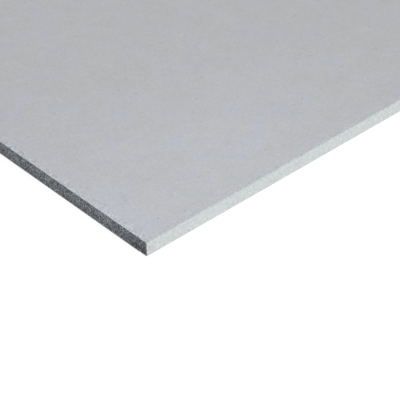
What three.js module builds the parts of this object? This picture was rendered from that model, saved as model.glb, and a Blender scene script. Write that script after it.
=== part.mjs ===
// A square-edge gypsum board, lying flat with its face side up.
//
// The board is a bonded laminate: a cast gypsum core between two paper liners. The face liner is
// the wider one. It is scored, folded down round both long edges and lapped onto the back, where it
// joggles up under the edge of the back liner that is glued over it. The two ends are cut square
// through all three, so the core is bare there. Length runs along X, width along Y and thickness
// along Z, in millimetres. The origin is under the middle of the board, in the plane that it
// rests on.

import * as THREE from 'three';

// Driving dimensions.
const board = { length: 2400, width: 1200, thickness: 12.5 };
const liner = { thickness: 0.3, lap: 30, backInset: 8 };
const fold = { faceRadius: 1.5, backRadius: 0.5, scoreDepth: 0.08, steps: 8 };
const joggle = { width: 1.0, recess: 0.1 };

// Places in the section. Beside the back liner a lap lies almost level with it, recessed so that
// only the back liner bears; over the back liner the lap is pressed up into the core.
const edgeY = board.width / 2;
const lapEndY = edgeY - liner.lap;
const backLinerY = edgeY - liner.backInset;
const joggleStartY = backLinerY + joggle.width;

const finishes = {
  core: new THREE.MeshStandardMaterial({ color: '#56595e', roughness: 0.95, metalness: 0 }),
  faceLiner: new THREE.MeshStandardMaterial({ color: '#b9bbc0', roughness: 0.75, metalness: 0 }),
  backLiner: new THREE.MeshStandardMaterial({ color: '#a6a49f', roughness: 0.85, metalness: 0 }),
};

// A quarter turn clockwise about a centre. The dip swells the radius towards the middle of the
// turn, which is how a score thins the liner from the inside.
function quarterTurn(centreY, centreZ, radius, startAngle, dip) {
  const points = [];
  for (let step = 0; step <= fold.steps; step += 1) {
    const share = step / fold.steps;
    const angle = startAngle - (share * Math.PI) / 2;
    const reach = radius + dip * Math.sin(share * Math.PI);
    const y = centreY + reach * Math.cos(angle);
    const z = centreZ + reach * Math.sin(angle);
    points.push(new THREE.Vector2(y, z));
  }
  return points;
}

// One surface of the face liner over the right half of the section: round the fold at the face,
// down the long edge, round the fold at the back, over the joggle and in to the end of the lap.
// Depth is measured into the liner from its outside.
function halfSurface(depth, dip) {
  const faceFold = quarterTurn(
    edgeY - fold.faceRadius,
    board.thickness - fold.faceRadius,
    fold.faceRadius - depth,
    Math.PI / 2,
    dip,
  );
  const backFold = quarterTurn(
    edgeY - fold.backRadius,
    joggle.recess + fold.backRadius,
    fold.backRadius - depth,
    0,
    dip,
  );
  const lap = [
    new THREE.Vector2(joggleStartY, joggle.recess + depth),
    new THREE.Vector2(backLinerY, liner.thickness + depth),
    new THREE.Vector2(lapEndY, liner.thickness + depth),
  ];
  return [...faceFold, ...backFold, ...lap];
}

// The same surface from the left lap, over the face, to the right lap.
function wholeSurface(depth, dip) {
  const right = halfSurface(depth, dip);
  const left = right.map((point) => new THREE.Vector2(-point.x, point.y)).reverse();
  return [...left, ...right];
}

// The liner's outside is a plain fold. Its inside is the line where paper and core meet, so both
// pieces are drawn from the same points and touch without a gap.
const linerOutside = wholeSurface(0, 0);
const linerInside = wholeSurface(liner.thickness, fold.scoreDepth);

function faceLinerSection() {
  return [...linerOutside, ...[...linerInside].reverse()];
}

// Between the laps the core comes down to the back liner, so each long edge has a shallow rebate
// where a lap is seated.
function coreSection() {
  const underside = [
    new THREE.Vector2(lapEndY, liner.thickness),
    new THREE.Vector2(-lapEndY, liner.thickness),
  ];
  return [...linerInside, ...underside];
}

function backLinerSection() {
  return [
    new THREE.Vector2(-backLinerY, 0),
    new THREE.Vector2(backLinerY, 0),
    new THREE.Vector2(backLinerY, liner.thickness),
    new THREE.Vector2(-backLinerY, liner.thickness),
  ];
}

// Runs a section, drawn across the board in Y and Z, along the whole length from end to end.
function runAlongBoard(name, section, material) {
  const geometry = new THREE.ExtrudeGeometry(new THREE.Shape(section), {
    depth: board.length,
    bevelEnabled: false,
  });
  geometry.translate(0, 0, -board.length / 2);
  const acrossToY = new THREE.Vector3(0, 1, 0);
  const upToZ = new THREE.Vector3(0, 0, 1);
  const alongToX = new THREE.Vector3(1, 0, 0);
  geometry.applyMatrix4(new THREE.Matrix4().makeBasis(acrossToY, upToZ, alongToX));
  const mesh = new THREE.Mesh(geometry, material);
  mesh.name = name;
  return mesh;
}

const drywallSheet = new THREE.Group();
drywallSheet.add(
  runAlongBoard('gypsum_core', coreSection(), finishes.core),
  runAlongBoard('face_paper', faceLinerSection(), finishes.faceLiner),
  runAlongBoard('back_paper', backLinerSection(), finishes.backLiner),
);

export default drywallSheet;
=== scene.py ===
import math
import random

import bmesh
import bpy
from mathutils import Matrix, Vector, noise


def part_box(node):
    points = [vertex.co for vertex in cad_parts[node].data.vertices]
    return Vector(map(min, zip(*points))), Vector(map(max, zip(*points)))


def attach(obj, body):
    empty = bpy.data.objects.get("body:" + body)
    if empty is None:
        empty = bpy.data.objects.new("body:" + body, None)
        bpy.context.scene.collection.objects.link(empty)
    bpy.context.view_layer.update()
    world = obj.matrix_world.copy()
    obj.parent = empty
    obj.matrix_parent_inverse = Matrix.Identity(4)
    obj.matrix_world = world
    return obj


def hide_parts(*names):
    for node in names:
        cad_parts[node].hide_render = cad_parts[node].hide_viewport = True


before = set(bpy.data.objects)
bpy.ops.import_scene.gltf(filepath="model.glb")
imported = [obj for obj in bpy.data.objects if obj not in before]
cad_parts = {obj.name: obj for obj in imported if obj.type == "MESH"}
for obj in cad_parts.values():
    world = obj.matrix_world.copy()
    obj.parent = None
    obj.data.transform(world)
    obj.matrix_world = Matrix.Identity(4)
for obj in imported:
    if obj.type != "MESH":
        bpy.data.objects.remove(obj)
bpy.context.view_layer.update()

# A square-edge drywall sheet, lying face up on a pale studio floor.
#
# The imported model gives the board's size, and three detailed pieces stand for its solids: the cast
# gypsum core with porous cut ends, the face paper folded round both long edges and lapped onto the
# back, and the back paper glued over the laps. Units are metres. X runs along the board, Y across it
# and Z up through it.

MM = 0.001

# ---------------------------------------------------------------- sizes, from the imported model

face_low, face_high = (Vector(corner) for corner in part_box("face_paper"))
back_low, back_high = (Vector(corner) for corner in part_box("back_paper"))

HALF_LENGTH = face_high.x
HALF_WIDTH = face_high.y
THICKNESS = face_high.z
LINER = back_high.z - back_low.z
BACK_LINER_EDGE = back_high.y
LAP_RECESS = face_low.z

# What the boxes don't tell: the folds' outer radii, how far the face paper laps onto the back, and
# where each lap joggles up under the back paper.
FACE_FOLD = 1.5 * MM
BACK_FOLD = 0.5 * MM
LAP_END = HALF_WIDTH - 30 * MM
JOGGLE_START = BACK_LINER_EDGE + 1.0 * MM

# The bottom corner where the near cut end meets the near long edge.
NEAR_CORNER = Vector((-HALF_LENGTH, -HALF_WIDTH, 0))

# How closely the surfaces are drawn: the flats, the folded edges, the paper's cut ends, each fold's
# quarter turn, the back paper along the board, and the broken core across the board and up it.
FLAT_STEP = 8 * MM
EDGE_STEP = 2 * MM
CUT_STEP = 1 * MM
FOLD_STEPS = 6
BACK_STEP = 12 * MM
GRAIN_STEP = 0.6 * MM
GRAIN_TIERS = 20

# How far in from the cut ends the fine rows of paper and core give way to coarse ones.
PAPER_CUT_MARGIN = 3 * MM
CORE_CUT_MARGIN = 4 * MM

# The air cells that a cut lays open on each end: how many, their radii, and how deep a bowl each one
# leaves, as a share of a half ball.
CELLS_PER_END = 5200
SMALLEST_CELL = 0.35 * MM
LARGEST_CELL = 1.0 * MM
BOWL_DEPTH = 0.85


# ---------------------------------------------------------------- mesh tools

def put_in_scene(name, data):
    """An object that shows this mesh, lamp or camera."""
    made = bpy.data.objects.new(name, data)
    bpy.context.scene.collection.objects.link(made)
    return made


def spread(start, end, longest_step):
    """Even places from start to end, both included, no further apart than the step."""
    count = max(1, math.ceil(abs(end - start) / longest_step))
    return [start + (end - start) * i / count for i in range(count + 1)]


def ladder(row, other_row):
    """Quads between two rows that have the same number of vertices."""
    return [
        (row[i], row[i + 1], other_row[i + 1], other_row[i]) for i in range(len(row) - 1)
    ]


def stitch(row, places, other_row, other_places):
    """Triangles between two rows of vertices that differ in number, matched by place along the row."""
    faces = []
    i = j = 0
    while i < len(row) - 1 or j < len(other_row) - 1:
        first_row_next = j == len(other_row) - 1 or (
            i < len(row) - 1 and places[i + 1] <= other_places[j + 1]
        )
        if first_row_next:
            faces.append((row[i], row[i + 1], other_row[j]))
            i += 1
        else:
            faces.append((row[i], other_row[j + 1], other_row[j]))
            j += 1
    return faces


class Surface:
    """Vertices and faces of one piece while it is being made."""

    def __init__(self):
        self.points = []
        self.faces = []
        self.finish_numbers = []

    def row(self, points):
        """Adds vertices and gives back their numbers."""
        first = len(self.points)
        self.points.extend(points)
        return list(range(first, len(self.points)))

    def skin(self, faces, finish_number=0):
        """Adds faces that show one of the piece's finishes."""
        self.faces.extend(faces)
        self.finish_numbers.extend([finish_number] * len(faces))

    def piece(self, name, *finishes):
        """A closed object that faces outwards."""
        mesh = bpy.data.meshes.new(name)
        mesh.from_pydata(self.points, [], self.faces)
        mesh.polygons.foreach_set("material_index", self.finish_numbers)
        shell = bmesh.new()
        shell.from_mesh(mesh)
        bmesh.ops.recalc_face_normals(shell, faces=shell.faces)
        shell.to_mesh(mesh)
        shell.free()
        for finish in finishes:
            mesh.materials.append(finish)
        return put_in_scene(name, mesh)


def dip(x, y, z, depth, size, seed):
    """How deep an uneven surface lies here: smooth noise in dips of about this size, which are this
    deep on average and at most twice as deep."""
    return depth * (1 + noise.noise(Vector((x / size + seed, y / size, z / size))))


# ---------------------------------------------------------------- finishes

# The values of a noise, and the greys of random colours, lie mostly between these.
NOISE_SPREAD = {"From Min": 0.3, "From Max": 0.7}


def srgb(code):
    """A hex colour turned to the linear values that shaders take."""
    channels = [int(code[i : i + 2], 16) / 255 for i in (1, 3, 5)]
    linear = [c / 12.92 if c <= 0.04045 else ((c + 0.055) / 1.055) ** 2.4 for c in channels]
    return (*linear, 1.0)


def per_metre(*sizes_mm):
    """The texture scale at which a pattern's cells are this many millimetres, along X, Y and Z where
    there are three sizes."""
    scales = [1000 / size for size in sizes_mm]
    return scales if len(scales) > 1 else scales[0]


def feed(tree, node, inputs):
    """Fills a node's inputs. Each is a value, or the socket or node that it is linked to, where a
    node gives its first output."""
    for name, value in inputs.items():
        if isinstance(value, bpy.types.Node):
            value = next(output for output in value.outputs if output.enabled)
        if isinstance(value, bpy.types.NodeSocket):
            tree.links.new(value, node.inputs[name])
        else:
            node.inputs[name].default_value = value


def add(tree, kind, inputs=None, stops=None, **settings):
    """One node, with its settings, its inputs and its colour stops."""
    made = tree.nodes.new(kind)
    for name, value in settings.items():
        setattr(made, name, value)
    feed(tree, made, inputs or {})
    if stops:
        ramp = made.color_ramp
        while len(ramp.elements) < len(stops):
            ramp.elements.new(1.0)
        for element, (place, code) in zip(ramp.elements, stops, strict=True):
            element.position = place
            element.color = srgb(code)
    return made


def new_finish(name):
    """A plain material, with its tree, its shader and the places on the board that patterns read:
    the place itself, and how far it is from the middle along X and Y and from the back along Z.
    Paper and gypsum both have an IOR of about 1.5."""
    finish = bpy.data.materials.new(name)
    finish.use_nodes = True
    tree = finish.node_tree
    shader = tree.nodes["Principled BSDF"]
    shader.inputs["IOR"].default_value = 1.5
    place = add(tree, "ShaderNodeTexCoord").outputs["Object"]
    either_side = add(tree, "ShaderNodeVectorMath", {0: place}, operation="ABSOLUTE")
    away = add(tree, "ShaderNodeSeparateXYZ", {0: either_side}).outputs
    return finish, tree, shader, place, away


def dress(tree, shader, colour, tones, roughness, relief):
    """Gives a finish its colour, its roughness and its relief. Each tone makes the colour lighter or
    darker, and where a tone is 1 it leaves the colour as it is."""
    for tone in tones:
        colour = add(
            tree,
            "ShaderNodeMix",
            {"Factor": 1.0, "A": colour, "B": tone},
            data_type="RGBA",
            blend_type="MULTIPLY",
        )
    feed(tree, shader, {"Base Color": colour, "Roughness": roughness, "Normal": relief})


def building_up(edge, starts, full):
    """The range over which something builds up towards an edge of the board: it starts this far in
    and is full this close."""
    return {"From Min": edge - starts, "From Max": edge - full}


def pulp_clouds(tree, place):
    """The flocks of the face liner's pulp, and its colour, which drifts over the board. Neither
    pattern has an end, so the places in them that the board is cut from set which clouds lie by the
    near corner."""
    # Pulp lies in flocks of all sizes, from 20 mm down to about 1 mm.
    flock_place = add(
        tree,
        "ShaderNodeVectorMath",
        {0: place, 1: Vector((2600, -266, 0)) * MM},
        operation="ADD",
    )
    flocks = add(
        tree,
        "ShaderNodeTexNoise",
        {"Vector": flock_place, "Scale": per_metre(20), "Detail": 4.0, "Roughness": 0.95},
    )
    # The colour drifts in slower clouds of about 28 mm.
    stock_place = add(
        tree,
        "ShaderNodeVectorMath",
        {0: place, 1: Vector((489, -1893, 0)) * MM},
        operation="ADD",
    )
    stock = add(
        tree,
        "ShaderNodeTexNoise",
        {"Vector": stock_place, "Scale": per_metre(28), "Detail": 2.0, "Roughness": 0.6},
    )
    pulp = add(
        tree,
        "ShaderNodeValToRGB",
        {"Fac": stock},
        stops=[(0.34, "#b0b2b8"), (0.5, "#b2b2b4"), (0.66, "#b0b1b2")],
    )
    return flocks, pulp


def powdered_and_crease_shaded(tree, pulp, away):
    """The pulp's colour, with powder along the cut ends, and greener and darker from each crease
    outwards, where the darkness is painted shade.
    """
    # A film of gypsum powder evens the colour out along the cut ends, and is gone 26 mm in.
    powdered = add(
        tree,
        "ShaderNodeMapRange",
        {"Value": away["X"], **building_up(HALF_LENGTH, starts=26 * MM, full=12 * MM)},
    )
    powdered_pulp = add(
        tree,
        "ShaderNodeMix",
        {"Factor": powdered, "A": pulp, "B": srgb("#b1b2b6")},
        data_type="RGBA",
    )
    # From the score outwards the paper is drawn greener and darker; the darkness is painted shade
    # along the crease.
    turned_over = add(
        tree,
        "ShaderNodeMapRange",
        {"Value": away["Y"], **building_up(HALF_WIDTH, starts=2.6 * MM, full=1.2 * MM)},
    )
    # There the dust of the core dulls it by the cut ends, and is gone 10 mm in.
    dusty = add(
        tree,
        "ShaderNodeMapRange",
        {"Value": away["X"], **building_up(HALF_LENGTH, starts=10 * MM, full=5 * MM)},
    )
    painted_crease_shade = add(
        tree,
        "ShaderNodeMix",
        {"Factor": dusty, "A": srgb("#adb1b1"), "B": srgb("#aaacac")},
        data_type="RGBA",
    )
    return add(
        tree,
        "ShaderNodeMix",
        {"Factor": turned_over, "A": powdered_pulp, "B": painted_crease_shade},
        data_type="RGBA",
    )


def roll_lines(tree, place):
    """The tone of the lines that the rolls leave, a few millimetres apart, and of a broader band
    where they press harder."""
    roll_run = add(
        tree,
        "ShaderNodeMapping",
        {"Vector": place, "Scale": per_metre(900, 60, 60)},
    )
    lines = add(
        tree,
        "ShaderNodeTexNoise",
        {"Vector": roll_run, "Scale": 1.0, "Detail": 4.0, "Roughness": 0.8},
    )
    return add(
        tree,
        "ShaderNodeMapRange",
        {"Value": lines, **NOISE_SPREAD, "To Min": 0.988, "To Max": 1.012},
    )


def print_specks(tree, place):
    """The tone of the specks that old print leaves, about 1.5 mm across, some dark and some pale. A
    cell of 8 mm has one where its middle lies near enough to the surface, which is about one cell in
    four."""
    print_cells = add(
        tree,
        "ShaderNodeTexVoronoi",
        {"Vector": place, "Scale": per_metre(8), "Randomness": 1.0},
    )
    in_speck = add(
        tree,
        "ShaderNodeMapRange",
        {"Value": print_cells, "From Min": 0.06, "From Max": 0.14, "To Min": 1.0, "To Max": 0.0},
    )
    speck_depth = add(
        tree,
        "ShaderNodeMapRange",
        {"Value": print_cells.outputs["Color"], **NOISE_SPREAD, "To Min": -0.28, "To Max": 0.2},
    )
    return add(
        tree,
        "ShaderNodeMath",
        {0: in_speck, 1: speck_depth, 2: 1.0},
        operation="MULTIPLY_ADD",
    )


def painted_edge_light_and_nap(tree, place, folded):
    """The tone of the long edges: painted paler for the light that falls on them, and mottled by the
    nap in patches of up to 3 mm."""
    nap_run = add(
        tree,
        "ShaderNodeMapping",
        {"Vector": place, "Scale": per_metre(2.8, 3, 2.5)},
    )
    nap = add(
        tree,
        "ShaderNodeTexNoise",
        {"Vector": nap_run, "Scale": 1.0, "Detail": 3.0, "Roughness": 0.85},
    )
    # The paler long edges are painted light; the nap noise only mottles them.
    painted_light_and_nap_depth = add(
        tree,
        "ShaderNodeMapRange",
        {"Value": nap, **NOISE_SPREAD, "To Min": 0.0, "To Max": 0.32},
    )
    return add(
        tree,
        "ShaderNodeMath",
        {0: folded, 1: painted_light_and_nap_depth, 2: 1.0},
        operation="MULTIPLY_ADD",
    )


def crumbs_and_scuffs(tree, place, away, folded):
    """The tone of crumbs and dust of the core, about 1 mm across, which lie along the cut ends and
    are gone 10 mm in. The creases are scuffed as finely, up to 9 mm in over the face and more
    faintly down the long edges."""
    by_the_cut = add(
        tree,
        "ShaderNodeMapRange",
        {"Value": away["X"], **building_up(HALF_LENGTH, starts=10 * MM, full=1 * MM)},
    )
    by_the_crease = add(
        tree,
        "ShaderNodeMapRange",
        {
            "Value": away["Y"],
            **building_up(HALF_WIDTH, starts=9 * MM, full=3 * MM),
            "To Min": 0.0,
            "To Max": 0.43,
        },
    )
    creased = add(
        tree,
        "ShaderNodeMath",
        {0: folded, 1: -0.26, 2: by_the_crease},
        operation="MULTIPLY_ADD",
    )
    scuffed = add(
        tree,
        "ShaderNodeMath",
        {0: by_the_cut, 1: creased},
        operation="MAXIMUM",
    )
    crumbs = add(
        tree,
        "ShaderNodeTexNoise",
        {"Vector": place, "Scale": per_metre(1.3), "Detail": 0.0},
    )
    crumb_depth = add(
        tree,
        "ShaderNodeMapRange",
        {"Value": crumbs, **NOISE_SPREAD, "To Min": -0.23, "To Max": 0.23},
    )
    return add(
        tree,
        "ShaderNodeMath",
        {0: scuffed, 1: crumb_depth, 2: 1.0},
        operation="MULTIPLY_ADD",
    )


def calendered_face_liner():
    """Recycled liner board, pressed smooth between hot rolls and folded down round the long edges.
    The eye sees an even pale grey, clouded where the pulp is thicker or thinner, with a fine mottle
    of fibres, sparse specks of old print and faint lines from the rolls. The creases are finely
    scuffed. From each crease outwards the colour is greener and darker, and the darkness is painted
    shade. Down the long edges the nap is more mottled, and the colour is painted paler for the light
    that falls on them. The cut ends are dusted with crumbs and powder of the core."""
    finish, tree, shader, place, away = new_finish("calendered_paper_face_liner")
    flocks, pulp = pulp_clouds(tree, place)
    flock_tone = add(
        tree,
        "ShaderNodeMapRange",
        {"Value": flocks, **NOISE_SPREAD, "To Min": 0.955, "To Max": 1.045},
    )
    # Fibres lie every way and are 0.03 mm thick, too fine to show, so a mottle of about 2 mm stands
    # for the knots that they make together.
    fibres = add(
        tree,
        "ShaderNodeTexNoise",
        {"Vector": place, "Scale": per_metre(2.2), "Detail": 3.0, "Roughness": 0.85},
    )
    fibre_tone = add(
        tree,
        "ShaderNodeMapRange",
        {"Value": fibres, **NOISE_SPREAD, "To Min": 0.92, "To Max": 1.08},
    )
    # 0 all over the face, and 1 down the long edges.
    folded = add(
        tree,
        "ShaderNodeMapRange",
        {"Value": away["Y"], **building_up(HALF_WIDTH, starts=0.4 * MM, full=0.1 * MM)},
    )
    sheen_of_rolls = add(
        tree,
        "ShaderNodeMapRange",
        {"Value": flocks, **NOISE_SPREAD, "To Min": 0.6, "To Max": 0.74},
    )
    nap_roughness = add(
        tree,
        "ShaderNodeMath",
        {0: folded, 1: 0.15, 2: sheen_of_rolls},
        operation="MULTIPLY_ADD",
    )
    fibre_relief = add(
        tree,
        "ShaderNodeBump",
        {"Height": fibres, "Strength": 1.0, "Distance": 0.02 * MM},
    )
    flock_relief = add(
        tree,
        "ShaderNodeBump",
        {"Height": flocks, "Normal": fibre_relief, "Strength": 1.0, "Distance": 0.08 * MM},
    )
    dress(
        tree,
        shader,
        colour=powdered_and_crease_shaded(tree, pulp, away),
        tones=(
            flock_tone,
            fibre_tone,
            roll_lines(tree, place),
            print_specks(tree, place),
            painted_edge_light_and_nap(tree, place, folded),
            crumbs_and_scuffs(tree, place, away, folded),
        ),
        roughness=nap_roughness,
        relief=flock_relief,
    )
    return finish


def knife_cut_liner_edge():
    """The cut edge of the paper, crushed by the blade and filled with dust of the core. The eye sees
    a soft dark grey line round the core, paler in patches where the paper shows through the dust."""
    finish, tree, shader, place, _ = new_finish("knife_cut_paper_liner_edge")
    dust = add(
        tree,
        "ShaderNodeTexNoise",
        {"Vector": place, "Scale": per_metre(1.4), "Detail": 2.0, "Roughness": 0.7},
    )
    dusted = add(
        tree,
        "ShaderNodeValToRGB",
        {"Fac": dust},
        stops=[(0.34, "#37383b"), (0.55, "#4c4e51"), (0.72, "#858687")],
    )
    chalky = add(
        tree,
        "ShaderNodeMapRange",
        {"Value": dust, **NOISE_SPREAD, "To Min": 1.0, "To Max": 0.85},
    )
    frayed = add(
        tree,
        "ShaderNodeBump",
        {"Height": dust, "Strength": 1.0, "Distance": 0.15 * MM},
    )
    dress(tree, shader, colour=dusted, tones=(), roughness=chalky, relief=frayed)
    return finish


def foamed_gypsum():
    """Gypsum set from a foamed slurry with graphite in it, then cut across. The eye sees a dark grey
    crumb of paler crystal grains and near-black air cells. It is drawn paler towards the face, darker
    towards the back and along the long edges, and darkest where the two meet."""
    finish, tree, shader, place, away = new_finish("cast_foamed_gypsum_with_graphite")
    crumb = add(
        tree,
        "ShaderNodeTexNoise",
        {"Vector": place, "Scale": per_metre(1.35), "Detail": 3.0, "Roughness": 0.7},
    )
    grains = add(
        tree,
        "ShaderNodeValToRGB",
        {"Fac": crumb},
        stops=[(0.31, "#191b1d"), (0.5, "#595c61"), (0.69, "#969a9f")],
    )
    swirls = add(
        tree,
        "ShaderNodeTexNoise",
        {"Vector": place, "Scale": per_metre(9), "Detail": 1.0, "Roughness": 0.5},
    )
    swirl_tone = add(
        tree,
        "ShaderNodeMapRange",
        {"Value": swirls, **NOISE_SPREAD, "To Min": 0.84, "To Max": 1.16},
    )
    back_to_face = {
        "Value": away["Z"],
        "From Min": 0.35 * THICKNESS,
        "From Max": 0.65 * THICKNESS,
    }
    back_to_face_tone = add(
        tree,
        "ShaderNodeMapRange",
        {**back_to_face, "To Min": 0.88, "To Max": 1.08},
        interpolation_type="SMOOTHSTEP",
    )
    # How dark the long edges are, from the back to the face.
    edge_tone = add(
        tree,
        "ShaderNodeMapRange",
        {**back_to_face, "To Min": 0.69, "To Max": 0.9},
        interpolation_type="SMOOTHSTEP",
    )
    long_edge_tone = add(
        tree,
        "ShaderNodeMapRange",
        {
            "Value": away["Y"],
            **building_up(HALF_WIDTH, starts=21 * MM, full=13 * MM),
            "To Min": 1.0,
            "To Max": edge_tone,
        },
        interpolation_type="SMOOTHSTEP",
    )
    powder = add(
        tree,
        "ShaderNodeMapRange",
        {"Value": crumb, **NOISE_SPREAD, "To Min": 1.0, "To Max": 0.88},
    )
    grit = add(
        tree,
        "ShaderNodeBump",
        {"Height": crumb, "Strength": 1.0, "Distance": 0.2 * MM},
    )
    dress(
        tree,
        shader,
        colour=grains,
        tones=(swirl_tone, back_to_face_tone, long_edge_tone),
        roughness=powder,
        relief=grit,
    )
    return finish


def unbleached_back_liner():
    """Plain recycled liner, left as the paper machine made it. The eye sees a dull grey-buff, with
    coarser fibres than the face has, dark specks of old print, and darker bands where glue came
    through over the laps."""
    finish, tree, shader, place, away = new_finish("machine_made_unbleached_back_liner")
    flocks = add(
        tree,
        "ShaderNodeTexNoise",
        {"Vector": place, "Scale": per_metre(20), "Detail": 5.0, "Roughness": 0.85},
    )
    pulp = add(
        tree,
        "ShaderNodeValToRGB",
        {"Fac": flocks},
        stops=[(0.3, "#938f87"), (0.5, "#a4a199"), (0.7, "#b1aea6")],
    )
    # Fibres are too fine to show, so each stroke here stands for a bundle of them.
    fibre_run = add(
        tree,
        "ShaderNodeMapping",
        {"Vector": place, "Scale": per_metre(9, 1.2, 1.2)},
    )
    fibres = add(
        tree,
        "ShaderNodeTexNoise",
        {"Vector": fibre_run, "Scale": 1.0, "Detail": 3.0, "Roughness": 0.7},
    )
    fibre_tone = add(
        tree,
        "ShaderNodeMapRange",
        {"Value": fibres, **NOISE_SPREAD, "To Min": 0.95, "To Max": 1.05},
    )
    print_cells = add(
        tree,
        "ShaderNodeTexVoronoi",
        {"Vector": place, "Scale": per_metre(7), "Randomness": 1.0},
    )
    speck_tone = add(
        tree,
        "ShaderNodeMapRange",
        {"Value": print_cells, "From Min": 0.04, "From Max": 0.1, "To Min": 0.8, "To Max": 1.0},
    )
    glue_tone = add(
        tree,
        "ShaderNodeMapRange",
        {
            "Value": away["Y"],
            "From Min": LAP_END - 2 * MM,
            "From Max": LAP_END + 2 * MM,
            "To Min": 1.0,
            "To Max": 0.95,
        },
    )
    open_nap = add(
        tree,
        "ShaderNodeMapRange",
        {"Value": flocks, **NOISE_SPREAD, "To Min": 0.8, "To Max": 0.95},
    )
    fibre_relief = add(
        tree,
        "ShaderNodeBump",
        {"Height": fibres, "Strength": 1.0, "Distance": 0.06 * MM},
    )
    dress(
        tree,
        shader,
        colour=pulp,
        tones=(fibre_tone, speck_tone, glue_tone),
        roughness=open_nap,
        relief=fibre_relief,
    )
    return finish


# ---------------------------------------------------------------- the face paper

def straight(start, end, longest_step, out):
    """A straight stretch of the section, its start left out, as places and outward directions."""
    count = max(1, math.ceil((end - start).length / longest_step))
    return [(start.lerp(end, i / count), out) for i in range(1, count + 1)]


def turned(centre, radius, start_angle):
    """A quarter turn clockwise, its start left out, as places and outward directions."""
    line = []
    for i in range(1, FOLD_STEPS + 1):
        angle = math.radians(start_angle - 90 * i / FOLD_STEPS)
        out = Vector((math.cos(angle), math.sin(angle)))
        line.append((centre + radius * out, out))
    return line


def wrap_line(step):
    """The outside of the face paper across the board, from the left lap over the face to the right
    lap. Each entry is a place in Y and Z, the direction out of the board, and the distance along."""
    up, side, down = Vector((0, 1)), Vector((1, 0)), Vector((0, -1))
    middle = Vector((0, THICKNESS))
    face_turn = Vector((HALF_WIDTH - FACE_FOLD, THICKNESS - FACE_FOLD))
    back_turn = Vector((HALF_WIDTH - BACK_FOLD, LAP_RECESS + BACK_FOLD))
    edge_top = face_turn + FACE_FOLD * side
    edge_bottom = back_turn + BACK_FOLD * side
    joggle_low = Vector((JOGGLE_START, LAP_RECESS))
    joggle_high = Vector((BACK_LINER_EDGE, LINER))
    right = [(middle, up)]
    right += straight(middle, face_turn + FACE_FOLD * up, step, up)
    right += turned(face_turn, FACE_FOLD, 90)
    right += straight(edge_top, edge_bottom, min(step, EDGE_STEP), side)
    right += turned(back_turn, BACK_FOLD, 0)
    right += straight(back_turn + BACK_FOLD * down, joggle_low, step, down)
    right += straight(joggle_low, joggle_high, step, down)
    right += straight(joggle_high, Vector((LAP_END, LINER)), step, down)
    left = [(Vector((-p.x, p.y)), Vector((-out.x, out.y))) for p, out in right[1:]]
    line = left[::-1] + right
    along = [0.0]
    for (before, _), (after, _) in zip(line, line[1:]):
        along.append(along[-1] + (after - before).length)
    return [(p, out, s) for (p, out), s in zip(line, along, strict=True)]


def pressed_in(x, y, z):
    """How far the paper's outside lies in from the true section: slow swells left by the forming
    belt on the face, and a livelier ripple down the folded edges, three times as long as it is
    high, which has faded out 4 mm in over the face."""
    ripple_reach = 4 * MM
    on_edge = max(0.0, 1 - (HALF_WIDTH - abs(y)) / ripple_reach)
    swell = dip(x, y, z, depth=0.03 * MM, size=45 * MM, seed=3.1)
    ripple = dip(x, y * 3, z * 3, depth=0.06 * MM, size=20 * MM, seed=11.7)
    return swell * (1 - on_edge) + ripple * on_edge


def ragged(x_end, along):
    """Where the cut runs at this distance along the wrap: a blade leaves the paper uneven."""
    nick = dip(along, x_end, 0, depth=0.09 * MM, size=2.2 * MM, seed=5.3)
    tuft = dip(along, x_end, 1, depth=0.05 * MM, size=0.9 * MM, seed=8.9)
    return x_end - math.copysign(nick + tuft, x_end)


def wrap_row(surface, x, line, inside=False, at_cut=False):
    """One row of vertices over the outside or the inside of the wrap."""
    points = []
    for place, out, along in line:
        inward = LINER if inside else pressed_in(x, place.x, place.y)
        y, z = place - inward * out
        points.append((ragged(x, along) if at_cut else x, y, z))
    return surface.row(points)


def face_paper(finish, cut_finish):
    """One sheet with its real thickness, drawn finely where it was cut and more coarsely between."""
    surface = Surface()
    coarse = wrap_line(FLAT_STEP)
    fine = wrap_line(CUT_STEP)
    coarse_along = [along for _, _, along in coarse]
    fine_along = [along for _, _, along in fine]
    margin = HALF_LENGTH - PAPER_CUT_MARGIN
    stations = spread(-margin, margin, FLAT_STEP)
    outside = [wrap_row(surface, x, coarse) for x in stations]
    for row, next_row in zip(outside, outside[1:]):
        surface.skin(ladder(row, next_row))
    inside = [wrap_row(surface, x, coarse, inside=True) for x in (-margin, margin)]
    surface.skin(ladder(*inside))
    cuts = []
    for x_end, nearest in ((-HALF_LENGTH, 0), (HALF_LENGTH, -1)):
        outer_cut = wrap_row(surface, x_end, fine, at_cut=True)
        inner_cut = wrap_row(surface, x_end, fine, inside=True, at_cut=True)
        surface.skin(stitch(outer_cut, fine_along, outside[nearest], coarse_along))
        surface.skin(stitch(inner_cut, fine_along, inside[nearest], coarse_along))
        surface.skin(ladder(outer_cut, inner_cut), finish_number=1)
        cuts.append((outer_cut, inner_cut))
    # The free edge of each lap closes the sheet.
    for lap in (0, -1):
        under = [cuts[0][0][lap], *[row[lap] for row in outside], cuts[1][0][lap]]
        over = [cuts[1][1][lap], inside[1][lap], inside[0][lap], cuts[0][1][lap]]
        surface.skin([tuple(under + over)])
    return surface.piece("face_paper_wrap", finish, cut_finish)


# ---------------------------------------------------------------- the back paper

def back_columns():
    """Places across the back paper from -1 to 1 of its half width, close together where the ends of
    the laps show through it."""
    longest_step = 0.05
    lap_end = LAP_END / BACK_LINER_EDGE
    near_lap = 0.002
    half = spread(0, lap_end - 2 * near_lap, longest_step)
    half += spread(lap_end - near_lap, lap_end + near_lap, near_lap / 2)
    half.append(1.0)
    return [-share for share in half[:0:-1]] + half


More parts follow.
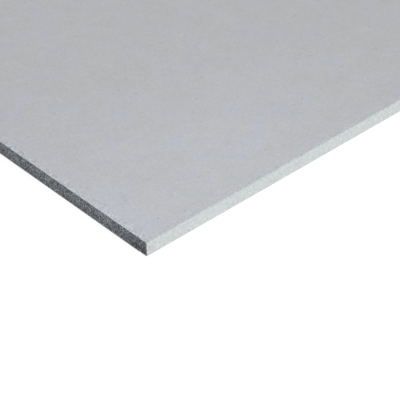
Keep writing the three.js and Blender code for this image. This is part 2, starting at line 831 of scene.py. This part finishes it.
def back_paper(finish, cut_finish):
    """The narrow liner: a thin sheet whose slit edges wander a little along the board. Between the
    laps of the face paper its outside is pressed a little further in."""
    pressed = 0.06 * MM
    surface = Surface()
    stations = spread(-HALF_LENGTH, HALF_LENGTH, BACK_STEP)
    columns = back_columns()
    levels = []
    for level in (back_low.z, back_high.z):
        rows = []
        for x in stations:
            slit = BACK_LINER_EDGE - dip(x, 0, 0, depth=0.35 * MM, size=90 * MM, seed=2.4)
            points = []
            for share in columns:
                between_laps = level == back_low.z and abs(share) * BACK_LINER_EDGE < LAP_END
                z = level + (pressed if between_laps else 0)
                points.append((x, share * slit, z))
            rows.append(surface.row(points))
        for row, next_row in zip(rows, rows[1:]):
            surface.skin(ladder(row, next_row))
        levels.append(rows)
    under, over = levels
    for end in (0, -1):
        surface.skin(ladder(under[end], over[end]), finish_number=1)
    for slit in (0, -1):
        surface.skin(ladder([row[slit] for row in under], [row[slit] for row in over]))
    return surface.piece("back_paper_liner", finish, cut_finish)


# ---------------------------------------------------------------- the gypsum core

def rounded_off(past, radius):
    """How far a rounded corner has fallen away, this far past the start of its curve."""
    return radius - math.sqrt(max(0.0, radius**2 - max(0.0, past) ** 2))


def core_span(y):
    """The core's lowest and highest point at this place across the board, inside the papers. Both
    papers lie under it at the laps, and only one does between the laps and along the edges."""
    across = abs(y)
    lowest = LINER if across <= LAP_END else 2 * LINER
    if across > BACK_LINER_EDGE:
        joggled = min(1.0, (across - BACK_LINER_EDGE) / (JOGGLE_START - BACK_LINER_EDGE))
        lowest -= joggled * (LINER - LAP_RECESS)
    lowest += rounded_off(across - (HALF_WIDTH - BACK_FOLD), BACK_FOLD - LINER)
    highest = THICKNESS - LINER
    highest -= rounded_off(across - (HALF_WIDTH - FACE_FOLD), FACE_FOLD - LINER)
    return lowest, highest


def core_columns(step):
    """Places across the core, this far apart, and closer round the folds."""
    flat_half = HALF_WIDTH - FACE_FOLD
    radius = FACE_FOLD - LINER
    turns = [math.radians(90 * i / FOLD_STEPS) for i in range(1, FOLD_STEPS + 1)]
    fold = [flat_half + radius * math.sin(turn) for turn in turns]
    return [-y for y in reversed(fold)] + spread(-flat_half, flat_half, step) + fold


def air_cells(seed):
    """Open bubbles on one cut end, most of them small, filed by the millimetre of width they lie
    in."""
    dice = random.Random(seed)
    by_place = {}
    for _ in range(CELLS_PER_END):
        y = dice.uniform(-HALF_WIDTH, HALF_WIDTH)
        z = dice.uniform(0, THICKNESS)
        radius = SMALLEST_CELL + (LARGEST_CELL - SMALLEST_CELL) * dice.random() ** 3
        cell = (y, z, radius)
        for key in range(math.floor((y - radius) / MM), math.floor((y + radius) / MM) + 1):
            by_place.setdefault(key, []).append(cell)
    return by_place


def broken_back(y, z, side, cells):
    """How far the cut face lies in from the plane of the cut: a little everywhere, then crumb, grit
    and the bowls of air cells."""
    set_back = 0.03 * MM
    crumb = dip(y, z, side, depth=0.12 * MM, size=1.3 * MM, seed=4.2)
    grit = dip(y, z, side, depth=0.06 * MM, size=0.6 * MM, seed=9.6)
    bowl = 0.0
    for cell_y, cell_z, radius in cells.get(math.floor(y / MM), ()):
        off = math.hypot(y - cell_y, z - cell_z)
        if off < radius:
            bowl = max(bowl, BOWL_DEPTH * math.sqrt(radius**2 - off**2))
    return set_back + crumb + grit + bowl


def walked(surface, row):
    """The distance along a row of vertices across the board's section, as a share of the whole."""
    total = [0.0]
    for before, after in zip(row, row[1:]):
        _, y, z = surface.points[before]
        _, next_y, next_z = surface.points[after]
        total.append(total[-1] + math.hypot(next_y - y, next_z - z))
    return [distance / total[-1] for distance in total]


def gypsum_core(finish):
    """A cast slab whose two cut ends are modelled in relief, grain by grain."""
    surface = Surface()
    tiers = spread(0.0, 1.0, 1 / GRAIN_TIERS)
    coarse = core_columns(FLAT_STEP)
    over = [(y, core_span(y)[1]) for y in coarse]
    under = [(y, core_span(y)[0]) for y in reversed(coarse)]
    sleeves = []
    for side in (-1, 1):
        cells = air_cells(seed=40 + side)
        grid = []
        for y in core_columns(GRAIN_STEP):
            lowest, highest = core_span(y)
            points = []
            for tier in tiers:
                z = lowest + (highest - lowest) * tier
                points.append((side * (HALF_LENGTH - broken_back(y, z, side, cells)), y, z))
            grid.append(surface.row(points))
        for column, next_column in zip(grid, grid[1:]):
            surface.skin(ladder(column, next_column))
        # Once round the end: over the top, down one long edge, back underneath and up the other.
        rim = [column[-1] for column in grid]
        rim += grid[-1][-2:0:-1]
        rim += [column[0] for column in reversed(grid)]
        rim += grid[0][1:]
        sleeve_x = side * (HALF_LENGTH - CORE_CUT_MARGIN)
        sleeve = surface.row([(sleeve_x, y, z) for y, z in over + under])
        sleeve.append(sleeve[0])
        surface.skin(stitch(rim, walked(surface, rim), sleeve, walked(surface, sleeve)))
        sleeves.append(sleeve)
    surface.skin(ladder(*sleeves))
    return surface.piece("gypsum_core_slab", finish)


# ---------------------------------------------------------------- the stage

def studio_floor():
    """Wide, matt and lit to plain white."""
    finish = bpy.data.materials.new("matt_white_studio_floor")
    finish.use_nodes = True
    tree = finish.node_tree
    matt_white = {
        "Base Color": srgb("#888888"),
        "Roughness": 1.0,
        "Specular IOR Level": 0.0,
        "Emission Color": srgb("#ffffff"),
        "Emission Strength": 0.8,
    }
    feed(tree, tree.nodes["Principled BSDF"], matt_white)
    reach = 400.0
    floor = bpy.data.meshes.new("studio_floor")
    corners = [(-reach, -reach, 0), (reach, -reach, 0), (reach, reach, 0), (-reach, reach, 0)]
    floor.from_pydata(corners, [], [(0, 1, 2, 3)])
    floor.materials.append(finish)
    put_in_scene("studio_floor", floor)


def direction_to(azimuth, elevation):
    """From the board towards this azimuth, which is 0 in front of it at -Y and 90 at +X, and this
    elevation, in degrees."""
    a, e = math.radians(azimuth), math.radians(elevation)
    return Vector((math.sin(a) * math.cos(e), -math.cos(a) * math.cos(e), math.sin(e)))


def facing(back):
    """The turn that faces a lamp or camera away from this direction, with its top up."""
    return back.to_track_quat("Z", "Y").to_euler()


def key_sun(azimuth, elevation, strength, softness):
    """A broad distant lamp."""
    lamp = bpy.data.lights.new("key_sun", "SUN")
    lamp.energy = strength
    lamp.angle = math.radians(softness)
    put_in_scene("key_sun", lamp).rotation_euler = facing(direction_to(azimuth, elevation))


def strip_softbox(length, width, centre, power, colour):
    """A cool strip lamp that hangs over the near long edge, facing down, so its light falls off over
    the face."""
    lamp = bpy.data.lights.new("strip_softbox", "AREA")
    lamp.shape = "RECTANGLE"
    lamp.size = length
    lamp.size_y = width
    lamp.energy = power
    lamp.color = srgb(colour)[:3]
    made = put_in_scene("strip_softbox", lamp)
    made.location = centre
    made.visible_camera = False


def white_surround(light, seen):
    """Even light from all round, which the camera sees as a brighter white."""
    world = bpy.data.worlds.new("white_surround")
    bpy.context.scene.world = world
    world.use_nodes = True
    tree = world.node_tree
    tree.nodes.clear()
    camera_ray = add(tree, "ShaderNodeLightPath").outputs["Is Camera Ray"]
    brightness = add(
        tree,
        "ShaderNodeMapRange",
        {"Value": camera_ray, "To Min": light, "To Max": seen},
    )
    glow = add(tree, "ShaderNodeBackground", {"Color": srgb("#ffffff"), "Strength": brightness})
    add(tree, "ShaderNodeOutputWorld", {"Surface": glow})


def corner_camera(lens, azimuth, elevation, distance, aim):
    """Looks down on the near corner, where the bare end meets the wrapped edge."""
    camera = bpy.data.cameras.new("camera")
    camera.lens = lens
    camera.sensor_width = 36.0
    camera.clip_start = 0.05
    camera.clip_end = 1000.0
    made = put_in_scene("camera", camera)
    back = direction_to(azimuth, elevation)
    made.location = aim + back * distance
    made.rotation_euler = facing(back)
    bpy.context.scene.camera = made


# ---------------------------------------------------------------- the making

corner_camera(
    lens=99.54,
    azimuth=-43.185,
    elevation=36.293,
    distance=0.85,
    aim=NEAR_CORNER + Vector((75.05, 24.16, 0)) * MM,
)

cut_liner = knife_cut_liner_edge()
for made, node, slot in (
    (gypsum_core(foamed_gypsum()), "gypsum_core", "gypsum_core"),
    (face_paper(calendered_face_liner(), cut_liner), "face_paper", "face_liner"),
    (back_paper(unbleached_back_liner(), cut_liner), "back_paper", "back_liner"),
):
    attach(made, "root")
    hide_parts(node)

studio_floor()
key_sun(azimuth=-18, elevation=20, strength=1.06, softness=20)
strip_softbox(
    length=0.4,
    width=0.1,
    centre=NEAR_CORNER + Vector((35, 0, 212.5)) * MM,
    power=0.115,
    colour="#ddebff",
)
white_surround(light=0.857, seen=1.1)
bpy.context.scene.view_settings.view_transform = "Standard"
